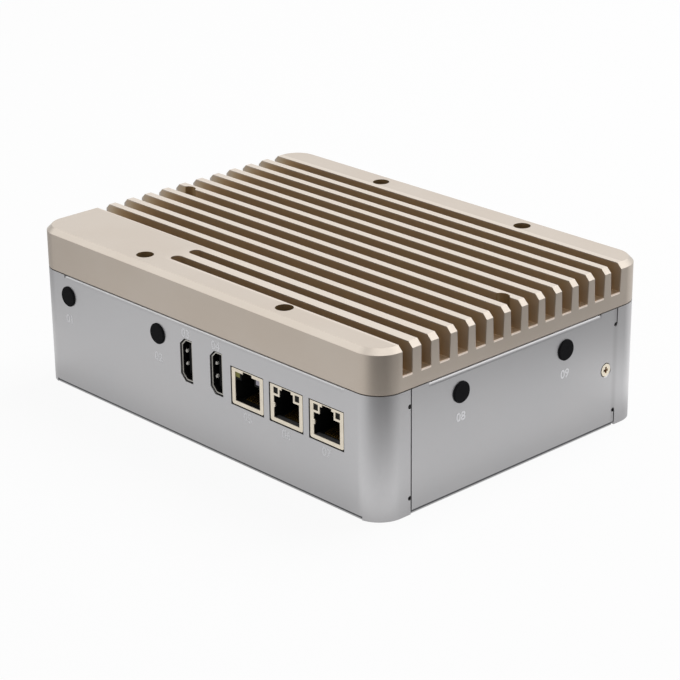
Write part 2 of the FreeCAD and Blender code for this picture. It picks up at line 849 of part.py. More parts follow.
def terminal_pins(x, poles, pitch):
    y = rear_face - terminal_d + terminal_back + pin_l / 2
    z = board_top + terminal_h / 2 - pin_w / 2
    return [block(x + (i - (poles - 1) / 2) * pitch, y, z, pin_w, pin_l, pin_w) for i in range(poles)]


def terminal_cut(x, poles, pitch):
    half = poles * pitch / 2 + terminal_wall + cut_gap
    return box(x - half, x + half, inner_y - over, half_d + over, board_top - cut_gap,
               board_top + terminal_h + cut_gap)


def rear_cuts():
    y0, through = inner_y - over, sheet_t + 2 * over
    half, low, top = usb_w / 2 + cut_gap, board_top - cut_gap, board_top + usb_h + cut_gap
    return [box(usb_x - half, usb_x + half, y0, half_d + over, low, top),
            terminal_cut(terminal_x, terminal_poles, terminal_pitch),
            terminal_cut(signal_x, signal_poles, signal_pitch),
            rod(button_x, y0, rear_z, button_r + button_gap, through, (0, 1, 0))] + [
        rod(x, y0, rear_z, pipe_r + fit_gap, through, (0, 1, 0)) for x in pipe_xs]


def power_button():
    """A cap held in behind the wall by its flange, with a stem that works the switch."""
    back, face = inner_y - button_gap, half_d + plug_head_t
    cap = rod(button_x, back, rear_z, button_r, face - back, (0, 1, 0))
    cap = cap.makeChamfer(button_bevel, [e for e in cap.Edges if e.BoundBox.YMin > face - 1e-3])
    behind = back - button_flange_t
    flange = rod(button_x, behind, rear_z, button_flange_r, button_flange_t, (0, 1, 0))
    stem = rod(button_x, behind - button_stem_l, rear_z, button_stem_r, button_stem_l, (0, 1, 0))
    return cap.fuse([flange, stem]).removeSplitter()


def power_switch():
    front = inner_y - 2 * button_gap - button_flange_t - button_travel
    half = switch_w / 2
    body = box(button_x - half, button_x + half, front - switch_d, front, board_top, rear_z + half)
    depth = button_stem_l + switch_clear
    return body.cut(rod(button_x, front - depth, rear_z, button_stem_r + button_gap, depth, (0, 1, 0)))


def light_pipes():
    pipes = []
    for x in pipe_xs:
        pipe = rod(x, inner_y - pipe_l, rear_z, pipe_r, pipe_l + sheet_t, (0, 1, 0))
        leg = block(x, inner_y - pipe_l, board_top, 2 * pipe_r, 2 * pipe_r, rear_z - board_top)
        pipes.append(pipe.fuse(leg).removeSplitter())
    return pipes


os.makedirs("parts", exist_ok=True)
save("heatsink_lid", heatsink_lid())
save("lid_screws", *lid_screws())
save("flange_nuts", *flange_nuts())
save("front_panel", front_panel())
save("side_rear_shell", side_rear_shell())
save("side_screws", *side_screws())
save("bottom_cover", bottom_cover())
save("cover_nuts", *cover_nuts())
for number, plug in enumerate(antenna_plugs(), 1):
    save("antenna_plug_%d" % number, plug)
for number, jack_x in enumerate(jack_xs, 1):
    save("network_shield_%d" % number, jack_shield(jack_x, number == 1))
    save("network_insert_%d" % number, jack_insert(jack_x))
    save("network_contacts_%d" % number, *jack_contacts(jack_x))
save("network_lights", *jack_lights())
for number, socket_x in enumerate(video_xs, 1):
    save("video_shell_%d" % number, video_shell(socket_x))
    save("video_insert_%d" % number, *video_insert(socket_x))
save("mainboard", mainboard())
save("board_posts", *board_posts())
save("board_screws", *board_screws())
save("board_parts", *board_parts())
save("capacitors", *capacitors())
save("coin_holder", coin_holder())
save("coin_cell", coin_cell())
save("module_board", module_board())
save("module_chips", *module_chips())
save("module_connector", module_connector())
save("module_posts", *module_posts())
save("module_screws", *module_screws())
save("thermal_pad", thermal_pad())
save("heat_block", heat_block())
save("block_screws", *block_screws())
save("ssd", ssd())
save("ssd_socket", ssd_socket())
save("ssd_screw", *ssd_screw())
save("usb_shell", usb_shell())
save("usb_insert", usb_insert())
save("power_terminal", terminal(terminal_x, terminal_poles, terminal_pitch))
save("power_pins", *terminal_pins(terminal_x, terminal_poles, terminal_pitch))
save("signal_terminal", terminal(signal_x, signal_poles, signal_pitch))
save("signal_pins", *terminal_pins(signal_x, signal_poles, signal_pitch))
save("power_button", power_button())
save("power_switch", power_switch())
save("light_pipes", *light_pipes())
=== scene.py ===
# %% [markdown]
# The fanless industrial PC, dressed for its picture
#
# The object is a small computer without a fan: a finned aluminium lid, anodised in a pale
# champagne, screwed on a folded box of silver sheet metal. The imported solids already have
# every real size, so this lesson doesn't model the machine again. It gives each solid its
# finish, softens the edges that a real cutter or press brake leaves soft, and adds the
# small things that a drawing leaves out: cross recesses, spring fingers and printed
# numbers. We start by loading the solids and noting the box that they fill.

# %% Load the frame
import json
import math

import bmesh
import bpy
from mathutils import Matrix, Vector


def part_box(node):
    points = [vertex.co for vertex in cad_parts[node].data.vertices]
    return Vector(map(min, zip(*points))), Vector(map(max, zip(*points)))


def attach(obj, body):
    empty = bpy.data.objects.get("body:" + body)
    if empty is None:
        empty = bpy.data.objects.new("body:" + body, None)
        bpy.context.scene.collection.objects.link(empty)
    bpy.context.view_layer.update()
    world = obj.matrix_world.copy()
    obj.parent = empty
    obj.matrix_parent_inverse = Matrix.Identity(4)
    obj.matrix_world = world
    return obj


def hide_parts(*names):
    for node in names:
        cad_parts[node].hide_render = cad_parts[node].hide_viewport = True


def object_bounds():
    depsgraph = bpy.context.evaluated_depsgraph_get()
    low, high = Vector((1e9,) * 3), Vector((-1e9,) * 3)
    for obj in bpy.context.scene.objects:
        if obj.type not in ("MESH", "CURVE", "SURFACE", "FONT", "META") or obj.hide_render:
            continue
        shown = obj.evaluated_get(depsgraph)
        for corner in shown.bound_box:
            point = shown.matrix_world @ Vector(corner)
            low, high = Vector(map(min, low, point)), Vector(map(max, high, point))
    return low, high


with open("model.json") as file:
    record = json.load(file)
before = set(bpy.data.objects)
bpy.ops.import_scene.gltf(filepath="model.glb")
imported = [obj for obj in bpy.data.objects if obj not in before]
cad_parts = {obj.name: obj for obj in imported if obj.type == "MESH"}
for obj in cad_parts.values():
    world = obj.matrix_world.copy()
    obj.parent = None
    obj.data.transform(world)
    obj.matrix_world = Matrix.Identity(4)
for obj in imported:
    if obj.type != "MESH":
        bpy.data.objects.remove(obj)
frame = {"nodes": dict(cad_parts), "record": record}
cad_low, cad_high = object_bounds()
nodes = frame["nodes"]
MM = 0.001
BODY = "chassis"
print("solids:", len(nodes), "size in mm:", [round(x / MM, 1) for x in cad_high - cad_low])


# %% [markdown]
# The camera
#
# A product photograph is taken from far away with a long lens, so that upright edges stay
# nearly parallel. The camera stands to the right of the sockets and looks a little down.
# We place it on a sphere round a point on the middle line, and build its matrix from
# three directions: right, up and back. A small roll is part of the photograph too.

# %% Camera
PHOTO_PX = 680
FOCAL_PX = 2259.7
SENSOR = 36.0
CAMERA_AZIMUTH = math.radians(46.76)
CAMERA_ELEVATION = math.radians(21.99)
CAMERA_ROLL = math.radians(-0.62)
CAMERA_DISTANCE = 825.4 * MM
AIM_RIGHT = 2.0 * MM
AIM_HEIGHT = 21.3 * MM
BOX_MIDDLE = Vector((-0.35 * MM, 0, 0))


def camera_directions():
    """Right, up and back for the photograph's view, as unit vectors."""
    sin_a, cos_a = math.sin(CAMERA_AZIMUTH), math.cos(CAMERA_AZIMUTH)
    sin_e, cos_e = math.sin(CAMERA_ELEVATION), math.cos(CAMERA_ELEVATION)
    back = Vector((sin_a * cos_e, -cos_a * cos_e, sin_e))
    right = Vector((cos_a, sin_a, 0))
    return right, back.cross(right), back


def add_camera():
    right, up, back = camera_directions()
    place = BOX_MIDDLE + AIM_RIGHT * right + Vector((0, 0, AIM_HEIGHT)) + CAMERA_DISTANCE * back
    sin_r, cos_r = math.sin(CAMERA_ROLL), math.cos(CAMERA_ROLL)
    across = right * cos_r + up * sin_r
    upward = up * cos_r - right * sin_r
    data = bpy.data.cameras.new("camera")
    data.sensor_width = SENSOR
    data.lens = FOCAL_PX / PHOTO_PX * SENSOR
    camera = bpy.data.objects.new("camera", data)
    bpy.context.scene.collection.objects.link(camera)
    turn = Matrix((across, upward, back)).transposed()
    camera.matrix_world = Matrix.Translation(place) @ turn.to_4x4()
    bpy.context.scene.camera = camera
    print("camera lens:", round(data.lens, 1), "mm")


add_camera()


# %% [markdown]
# Shader maths as plain Python
#
# Blender's materials are graphs of nodes, and drawing the graph in code gets long. Here a
# small class wraps one output of a node, so that `1 - mask` or `grain * 0.2` adds the Math
# nodes by itself. Every other node comes from one method, which sets the node's settings
# first and its sockets after them.

# %% Signals and recipes
class Signal:
    """One output of a node, with Python's operators as Math nodes."""

    def __init__(self, recipe, socket):
        self.recipe = recipe
        self.socket = socket

    def __add__(self, other):
        return self.recipe.calculate("ADD", self, other)

    def __sub__(self, other):
        return self.recipe.calculate("SUBTRACT", self, other)

    def __rsub__(self, other):
        return self.recipe.calculate("SUBTRACT", other, self)

    def __mul__(self, other):
        return self.recipe.calculate("MULTIPLY", self, other)

    def __pow__(self, other):
        return self.recipe.calculate("POWER", self, other)

    def __gt__(self, other):
        return self.recipe.calculate("GREATER_THAN", self, other)

    def __lt__(self, other):
        return self.recipe.calculate("LESS_THAN", self, other)

    def __or__(self, other):
        return self.recipe.calculate("MAXIMUM", self, other)

    def __abs__(self):
        return self.recipe.calculate("ABSOLUTE", self, 0.0)

    __radd__ = __add__
    __rmul__ = __mul__

    def ramp(self, low, high):
        """0 at low, 1 at high, with a soft start and end."""
        settings = {"interpolation_type": "SMOOTHSTEP"}
        return self.recipe.node("ShaderNodeMapRange", settings, {0: self, 1: low, 2: high})


class Recipe:
    """A node tree that is being written."""

    def __init__(self, tree):
        self.tree = tree
        tree.nodes.clear()

    def node(self, kind, settings, sockets, output=0):
        """A new node's output; settings are its own fields, and sockets feed its inputs."""
        node = self.tree.nodes.new(kind)
        for name, value in settings.items():
            setattr(node, name, value)
        for name, value in sockets.items():
            if isinstance(value, Signal):
                self.tree.links.new(value.socket, node.inputs[name])
            else:
                node.inputs[name].default_value = value
        return Signal(self, node.outputs[output]) if node.outputs else None

    def calculate(self, operation, first, second):
        return self.node("ShaderNodeMath", {"operation": operation}, {0: first, 1: second})

    def combine(self, operation, vectors, output=0):
        return self.node("ShaderNodeVectorMath", {"operation": operation}, dict(enumerate(vectors)), output)

    def place(self):
        """Where a point is on the object, in metres."""
        return self.node("ShaderNodeTexCoord", {}, {}, "Object")

    def axis(self, vector, name):
        return self.node("ShaderNodeSeparateXYZ", {}, {0: vector}, name)

    def facing(self, name):
        """How far the surface faces along one axis of the object, from -1 to 1."""
        return self.axis(self.node("ShaderNodeTexCoord", {}, {}, "Normal"), name)

    def upright(self):
        """1 on walls, 0 on what faces up or down."""
        return 1 - abs(self.facing("Z")).ramp(0.3, 0.6)

    def noise(self, size, detail=2.0):
        """Noise from 0 to 1 whose spots are about size metres wide."""
        sockets = {"Vector": self.place(), "Scale": 1 / size, "Detail": detail}
        return self.node("ShaderNodeTexNoise", {}, sockets)

    def clouds(self, size, soft=0.2):
        """Clouds from 0 to 1 about size metres wide, with edges as wide as soft."""
        return self.noise(size).ramp(0.5 - soft, 0.5 + soft)

    def mix(self, factor, first, second):
        """The first colour at 0 and the second at 1, through the Mix node's colour sockets."""
        return self.node("ShaderNodeMix", {"data_type": "RGBA"}, {0: factor, 6: first, 7: second}, 2)

    def bump(self, height, depth):
        """A normal from a height from 0 to 1, where 1 stands depth metres high."""
        return self.node("ShaderNodeBump", {}, {"Height": height, "Distance": depth})


def rgb(red, green, blue):
    """A colour as it shows on the screen, from 0 to 255, turned into light."""
    def light(value):
        share = value / 255
        return share / 12.92 if share <= 0.04045 else ((share + 0.055) / 1.055) ** 2.4
    return (light(red), light(green), light(blue), 1.0)


def finish(name, **sockets):
    """A material with one Principled shader; a recipe's Signals may feed its sockets."""
    material = bpy.data.materials.new(name)
    material.use_nodes = True
    recipe = Recipe(material.node_tree)
    values = {}
    for key, value in sockets.items():
        values[key.replace("_", " ")] = value(recipe) if callable(value) else value
    shader = recipe.node("ShaderNodeBsdfPrincipled", {}, values)
    recipe.node("ShaderNodeOutputMaterial", {}, {0: shader})
    return material


def grain(size, depth, detail=2.0):
    """For a finish's Normal: bumps about size metres wide and depth metres high."""
    return lambda recipe: recipe.bump(recipe.noise(size, detail), depth)


def uneven(level, size, spread):
    """For a finish's Roughness: from level up to level + spread."""
    return lambda recipe: level + recipe.noise(size) * spread


# %% [markdown]
# The studio
#
# The photograph has a white ground and soft light from above and behind. The floor shows
# white to the camera. Metal is a mirror, even a rough one, so its greys are a picture of
# the room: the walls of the box see the lit table beside them, and the near corner looks
# back at the unlit room behind the camera. Reflections therefore get a room of their own.
# Its floor is bright close by and in two patches, has a soft shadow at the foot of the
# box, and dims further off on three sides. Its ceiling grows brighter towards the back,
# with a glint for the fins' sloping ends, and is bright again over the camera. The large
# lamp is kept out of it, because its mirrored edge would draw a hard line on the lid.

# %% Floor, world and lamps
FLOOR_SIZE = 6.0
FLOOR_DROP = 0.1 * MM
FLOOR_GREY = rgb(214, 214, 215)
FLOOR_GLOW = 0.93
WHITE = (1.0, 1.0, 1.0, 1.0)
# The bright floor round the object, and the shadow at its foot.
POOL_NEAR = 138 * MM
POOL_FAR = 230 * MM
SHADOW_REACH = 24 * MM
SHADOW_DEPTH = 0.24
# The mirrored room: levels, and the two sides that the ceiling is lit from.
LEVEL_AROUND = 0.90
LEVEL_ABOVE = 1.52
ABOVE_TILT = 0.5
GLINT = 0.42
OVERHEAD_BOOST = 0.8
OVERHEAD_DIM = 0.4
BRIGHT_SIDE = 150
CAMERA_SIDE = 47
# Where each part of it begins and is full: how far up, or how squarely to its side.
CEILING = (0.1, 0.75)
ZENITH = (0.8, 0.97)
OVER_CAMERA = (0.05, 0.3)
GLINT_AT = (0.5, 0.7)
# Dim sides: azimuth, how squarely a direction has to point there, and the drop.
DIM_SIDES = ((47, 0.84, 0.998, 0.84), (100, 0.72, 0.965, 0.72), (-75, 0.88, 0.99, 0.38))
# Bright patches: azimuth, boost, where they begin and are full, and their far end.
PATCHES = ((45, 0.28, 98 * MM, 116 * MM, 160 * MM), (180, 0.36, 62 * MM, 92 * MM, 185 * MM))
PATCH_FADE = 0.7
# The soft light that falls on the object from all round.
WORLD_SOFT = 0.5
# Lamps: name, azimuth, elevation, distance, width, level, and whether metal mirrors them.
LAMPS = (("lamp_above", 172, 60, 1.4, 0.8, 0.78, False), ("lamp_left", -60, 38, 1.6, 1.0, 0.08, True))


def towards(recipe, vector, azimuth):
    """How much of a vector points to an azimuth, counted from the front to the right."""
    angle = math.radians(azimuth)
    side = (math.sin(angle), -math.cos(angle), 0.0)
    return recipe.combine("DOT_PRODUCT", (vector, side), "Value")


def side_level(recipe, vector):
    """How bright the room is in a direction, for reflections."""
    flat = recipe.combine("MULTIPLY", (vector, (1.0, 1.0, 0.0)))
    unit = recipe.combine("NORMALIZE", (flat,))
    level = LEVEL_AROUND
    for azimuth, start, full, drop in DIM_SIDES:
        level = level - towards(recipe, unit, azimuth).ramp(start, full) * drop
    return level


def light_path(recipe, name):
    return recipe.node("ShaderNodeLightPath", {}, {}, name)


def seen_directly(recipe):
    """1 for what the camera sees itself, not in a mirror."""
    return light_path(recipe, "Is Camera Ray") | light_path(recipe, "Is Transmission Ray")


def beyond(recipe, place, name, half):
    """How far a point lies outside the object along one axis."""
    return abs(recipe.axis(place, name)) - half | 0.0


def add_floor():
    half = FLOOR_SIZE / 2
    mesh = bpy.data.meshes.new("floor")
    square = ((-half, -half), (half, -half), (half, half), (-half, half))
    mesh.from_pydata([(x, y, -FLOOR_DROP) for x, y in square], [], [(0, 1, 2, 3)])
    floor = bpy.data.objects.new("floor", mesh)
    bpy.context.scene.collection.objects.link(floor)
    material = bpy.data.materials.new("floor_paper")
    material.use_nodes = True
    recipe = Recipe(material.node_tree)
    place = recipe.place()
    distance = recipe.combine("LENGTH", (place,), "Value")
    away = distance.ramp(POOL_NEAR, POOL_FAR)
    beside = beyond(recipe, place, "X", cad_high.x) + beyond(recipe, place, "Y", cad_high.y)
    shadow = SHADOW_DEPTH * (1 - beside.ramp(0.0, SHADOW_REACH))
    mirrored = 1 - shadow - away * (1 - side_level(recipe, place))
    for azimuth, boost, start, full, far in PATCHES:
        fade = 1 - distance.ramp(PATCH_FADE * far, far)
        mirrored = mirrored + towards(recipe, place, azimuth).ramp(start, full) * fade * boost
    seen = seen_directly(recipe)
    strength = mirrored + seen * (1 - mirrored)
    paper = recipe.node("ShaderNodeBsdfDiffuse", {}, {"Color": FLOOR_GREY})
    glow = recipe.node("ShaderNodeEmission", {}, {"Color": WHITE, "Strength": strength})
    share = (seen | light_path(recipe, "Is Glossy Ray")) * FLOOR_GLOW
    shader = recipe.node("ShaderNodeMixShader", {}, {0: share, 1: paper, 2: glow})
    recipe.node("ShaderNodeOutputMaterial", {}, {0: shader})
    mesh.materials.append(material)


def add_world():
    world = bpy.data.worlds.new("studio")
    bpy.context.scene.world = world
    world.use_nodes = True
    recipe = Recipe(world.node_tree)
    direction = recipe.node("ShaderNodeTexCoord", {}, {}, "Generated")
    rise = recipe.axis(direction, "Z")
    high = rise.ramp(*CEILING)
    over_camera = towards(recipe, direction, CAMERA_SIDE).ramp(*OVER_CAMERA)
    overhead = rise.ramp(*ZENITH) * ((OVERHEAD_BOOST + OVERHEAD_DIM) * over_camera - OVERHEAD_DIM)
    bright = towards(recipe, direction, BRIGHT_SIDE)
    above = LEVEL_ABOVE + ABOVE_TILT * bright + GLINT * bright.ramp(*GLINT_AT) + overhead
    mirrored = high * above + (1 - high) * side_level(recipe, direction)
    glossy = light_path(recipe, "Is Glossy Ray")
    strength = WORLD_SOFT + glossy * (mirrored - WORLD_SOFT)
    strength = strength + seen_directly(recipe) * (1 - strength)
    shader = recipe.node("ShaderNodeBackground", {}, {"Color": WHITE, "Strength": strength})
    recipe.node("ShaderNodeOutputWorld", {}, {0: shader})


def add_lamp(name, azimuth, elevation, distance, width, level, mirrored):
    """A square soft box that looks at the object; white facing it would render at level."""
    data = bpy.data.lights.new(name, "AREA")
    data.shape = "SQUARE"
    data.size = width
    data.energy = level * (math.pi * distance) ** 2
    a, e = math.radians(azimuth), math.radians(elevation)
    outward = Vector((math.sin(a) * math.cos(e), -math.cos(a) * math.cos(e), math.sin(e)))
    turn = outward.to_track_quat("Z", "Y").to_matrix().to_4x4()
    lamp = bpy.data.objects.new(name, data)
    lamp.matrix_world = Matrix.Translation(outward * distance) @ turn
    lamp.visible_glossy = mirrored
    bpy.context.scene.collection.objects.link(lamp)


add_floor()
add_world()
for lamp in LAMPS:
    add_lamp(*lamp)
bpy.context.scene.view_settings.view_transform = "Standard"


# %% [markdown]
# The anodised lid
#
# The lid is milled from one block, blasted and anodised in a pale champagne. Blasting
# scatters the light, so the finish is between a metal and a paint: mostly metallic, fairly
# rough, with a grain far finer than a millimetre. In the slots and counterbores the light
# bounces from wall to wall, and they also get a brown painted shade, lighter towards the
# slots' open ends. The slopes between the top and the sides, the tops of the fins and the
# lips where a slot's floor runs out at an end get a paler painted highlight, and faces that
# look down get a dark painted shade. A mask picks each of these places from where a point
# is and which way it faces.

# %% Lid finish
CHAMPAGNE = rgb(192, 181, 169)
CHAMPAGNE_WARM = rgb(186, 173, 159)
# Painted shade for the slots, counterbores and downward faces; painted highlight for the lips, slopes and
# fin tops.
SLOT_SHADE = rgb(184, 162, 132)
LIP_HIGHLIGHT = rgb(255, 240, 226)
CHAMFER_HIGHLIGHT = rgb(204, 200, 192)
FIN_HIGHLIGHT = rgb(206, 195, 183)
BORE_SHADE = rgb(160, 137, 103)
UNDER_SHADE = rgb(92, 80, 68)
LID_CLOUD = 30 * MM
WARM_SHARE = 0.35
CHAMFER_SHARE = 0.2
UNDER_SHARE = 0.7
OPEN_SHARE = 0.55
# How squarely a face has to look along an axis: its mask begins at the first number.
FLAT = (0.9, 0.97)
SLOPE_FROM = (0.45, 0.6)
SLOPE_TO = (0.85, 0.95)
DOWNWARD = -0.3
FIN_EDGE = 0.5 * MM
CHAMFER = 1.9 * MM
LAND = 10.0 * MM
OPEN_END = 5.0 * MM
SLOT_FLOOR = 50.2 * MM
LIP_TALL = 0.75 * MM
SLOT_TOP_HALF = 2.8 * MM
EDGE_LINE = 0.6 * MM
SHORT_START = 63.3 * MM
FADE_BEFORE = 5.0 * MM
FADE_AFTER = 10.0 * MM
BORE_R = 3.15 * MM
SCREW_APART = 7.0 * MM
LID_LOW, LID_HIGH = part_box("heatsink_lid")


def slot_rows():
    """The first slots' middles at both ends, the pitch and half a floor's width, from the lid."""
    close = 0.01 * MM
    corners = [vert.co for vert in nodes["heatsink_lid"].data.vertices]
    floor = [co for co in corners if abs(co.z - SLOT_FLOOR) < close]
    right = sorted({round(co.y, 6) for co in floor if co.x > LID_HIGH.x - close})
    left = sorted({round(co.y, 6) for co in floor if co.x < LID_LOW.x + close})
    print("slots at the right end:", len(right) // 2, "at the left end:", len(left) // 2)
    first_left, first_right = (left[0] + left[1]) / 2, (right[0] + right[1]) / 2
    pitch = (right[2] + right[3]) / 2 - first_right
    return first_left, first_right, pitch, (right[1] - right[0]) / 2


def screw_spots():
    """Where each lid screw's axis is, seen from above."""
    groups = []
    for vert in nodes["lid_screws"].data.vertices:
        near = [group for group in groups if (vert.co.xy - group[0]).length < SCREW_APART]
        if near:
            near[0].append(vert.co.xy)
        else:
            groups.append([vert.co.xy])
    spots = []
    for group in groups:
        xs, ys = [co.x for co in group], [co.y for co in group]
        spots.append(((min(xs) + max(xs)) / 2, (min(ys) + max(ys)) / 2))
    return spots


LEFT_SLOT, RIGHT_SLOT, SLOT_PITCH, SLOT_HALF = slot_rows()
SCREW_SPOTS = screw_spots()
print("lid screws:", len(SCREW_SPOTS))


def chamfer_mask(recipe):
    """1 on the slopes between the top and the sides, and on the fins' broken edges."""
    slope = recipe.facing("Z")
    sloping = slope.ramp(*SLOPE_FROM) * (1 - slope.ramp(*SLOPE_TO))
    return sloping * (recipe.axis(recipe.place(), "Z") > LID_HIGH.z - CHAMFER - FIN_EDGE)


def slot_shade_mask(recipe):
    """Painted shade: 1 on the walls and floors of the slots, fading out at their open ends."""
    place = recipe.place()
    across, along, up = (recipe.axis(place, name) for name in "XYZ")
    below_tips = 1 - up.ramp(LID_HIGH.z - FIN_EDGE, LID_HIGH.z - FIN_EDGE / 2)
    end = 1 - abs(across).ramp(LID_HIGH.x - OPEN_END, LID_HIGH.x - FIN_EDGE)
    inside = (abs(along) < LID_HIGH.y - LAND) * (abs(across) < LID_HIGH.x - FIN_EDGE)
    return below_tips * inside * (OPEN_SHARE + (1 - OPEN_SHARE) * end) * (1 - chamfer_mask(recipe))


def lip_highlight_mask(recipe):
    """Painted highlight: 1 on the cut edge where a slot's floor runs out at an end."""
    place = recipe.place()
    across, along, up = (recipe.axis(place, name) for name in "XYZ")
    near_floor = abs(up - (SLOT_FLOOR - LIP_TALL / 2 + FIN_EDGE / 4)) < LIP_TALL / 2
    at_right = (across > LID_HIGH.x - FIN_EDGE) * (along > RIGHT_SLOT - SLOT_PITCH / 2)
    at_left = (across < LID_LOW.x + FIN_EDGE) * (along > LEFT_SLOT - SLOT_PITCH / 2)
    off_middle = recipe.calculate("PINGPONG", along - RIGHT_SLOT, SLOT_PITCH / 2)
    return near_floor * (at_left | at_right) * (off_middle < SLOT_HALF) * (along < LID_HIGH.y - LAND)


def fin_highlight_mask(recipe):
    """Painted highlight: 1 on the tops of the fins and on the slots' edges of the lands beside them."""
    place = recipe.place()
    across, along = recipe.axis(place, "X"), recipe.axis(place, "Y")
    reach = SLOT_TOP_HALF + EDGE_LINE
    rows = (along > RIGHT_SLOT - reach) * (along < LID_HIGH.y - LAND - EDGE_LINE)
    short = LID_LOW.x + SHORT_START
    beside = across.ramp(short - FADE_BEFORE, short + FADE_AFTER) | (along > LEFT_SLOT - reach)
    return rows * beside * recipe.facing("Z").ramp(*FLAT)


def bore_shade_mask(recipe):
    """Painted shade: 1 on the walls of the screws' counterbores."""
    place = recipe.place()
    across, along = recipe.axis(place, "X"), recipe.axis(place, "Y")
    inside = 0.0
    for x, y in SCREW_SPOTS:
        off_squared = (across - x) ** 2.0 + (along - y) ** 2.0
        inside = (off_squared < (BORE_R + EDGE_LINE / 2) ** 2) | inside
    return inside * recipe.upright()


def lid_colour(recipe):
    cloud = recipe.clouds(LID_CLOUD, 0.15)
    anodised = recipe.mix(cloud * WARM_SHARE, CHAMPAGNE, CHAMPAGNE_WARM)
    # The fin tops and the slots' edges get a painted highlight.
    anodised = recipe.mix(fin_highlight_mask(recipe), anodised, FIN_HIGHLIGHT)
    with_shade_and_highlight = recipe.mix(slot_shade_mask(recipe), anodised, SLOT_SHADE)
    with_shade_and_highlight = recipe.mix(bore_shade_mask(recipe), with_shade_and_highlight, BORE_SHADE)
    # The slopes get a pale painted highlight.
    with_shade_and_highlight = recipe.mix(chamfer_mask(recipe) * CHAMFER_SHARE, with_shade_and_highlight, CHAMFER_HIGHLIGHT)
    with_lip_highlight = recipe.mix(lip_highlight_mask(recipe), with_shade_and_highlight, LIP_HIGHLIGHT)
    # Faces that look down get a dark painted shade.
    under = recipe.facing("Z") < DOWNWARD
    return recipe.mix(under * UNDER_SHARE, with_lip_highlight, UNDER_SHADE)


lid_anodised = finish("lid_finish", Base_Color=lid_colour, Metallic=0.70,
                      Roughness=uneven(0.30, 1.2 * MM, 0.08), Normal=grain(0.25 * MM, 0.004 * MM, 3.0))


# %% [markdown]
# The sheet metal
#
# The box is folded from zinc-coated or aluminium sheet with a fine silver coat. It is
# smoother than the lid and more of a mirror, so it takes its grey from the white floor
# and loses it where the near corner looks at the dark side of the room. Near the rear the
# press brake has left a faint upright crease between two relief holes, whose shade is
# painted on as a grey band.

# %% Box finish
SILVER = rgb(186, 185, 186)
SILVER_COOL = rgb(182, 182, 184)
SHELL_CLOUD = 45 * MM
COOL_SHARE = 0.5
# The crease's painted shade:
CREASE_SHADE = rgb(163, 162, 163)
CREASE_SHARE = 0.5
CREASE_HALF = 2.0 * MM
CREASE_IN = 14.9 * MM
CREASE_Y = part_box("side_rear_shell")[1].y - CREASE_IN


def crease_shade_mask(recipe):
    """Painted shade: 1 on the crease of the side walls, fading out beside it."""
    off = abs(recipe.axis(recipe.place(), "Y") - CREASE_Y)
    return (1 - off.ramp(0.0, CREASE_HALF)) * abs(recipe.facing("X")).ramp(*FLAT)


def shell_colour(recipe):
    silver = recipe.mix(recipe.clouds(SHELL_CLOUD) * COOL_SHARE, SILVER, SILVER_COOL)
    return recipe.mix(crease_shade_mask(recipe) * CREASE_SHARE, silver, CREASE_SHADE)


def sheet_finish(name, colour):
    return finish(name, Base_Color=colour, Metallic=0.85, Roughness=uneven(0.28, 2.0 * MM, 0.08),
                  Normal=grain(0.35 * MM, 0.003 * MM, 3.0))


shell_metal = sheet_finish("shell_finish", shell_colour)


# %% [markdown]
# Small metals, plastics and rubber
#
# The small parts share a few simple recipes. Each has a little grain and an uneven
# roughness, because an even one looks like wax in a close view.

# %% Other finishes
CLOUD_SHARE = 0.25
CLOUD_DARK = 0.75


def clouded(recipe, colour, size):
    """A colour with slightly darker clouds about size metres wide."""
    darker = tuple(channel * CLOUD_DARK for channel in colour[:3]) + (1.0,)
    return recipe.mix(recipe.clouds(size) * CLOUD_SHARE, colour, darker)


def grainy(name, colour, metallic, roughness, size, depth, **more):
    """A finish with a grain of the given size, and wider clouds in colour and roughness."""
    return finish(name, Base_Color=lambda r: clouded(r, colour, size * 6), Metallic=metallic,
                  Roughness=uneven(roughness, size * 3, 0.1), Normal=grain(size, depth, 3.0), **more)


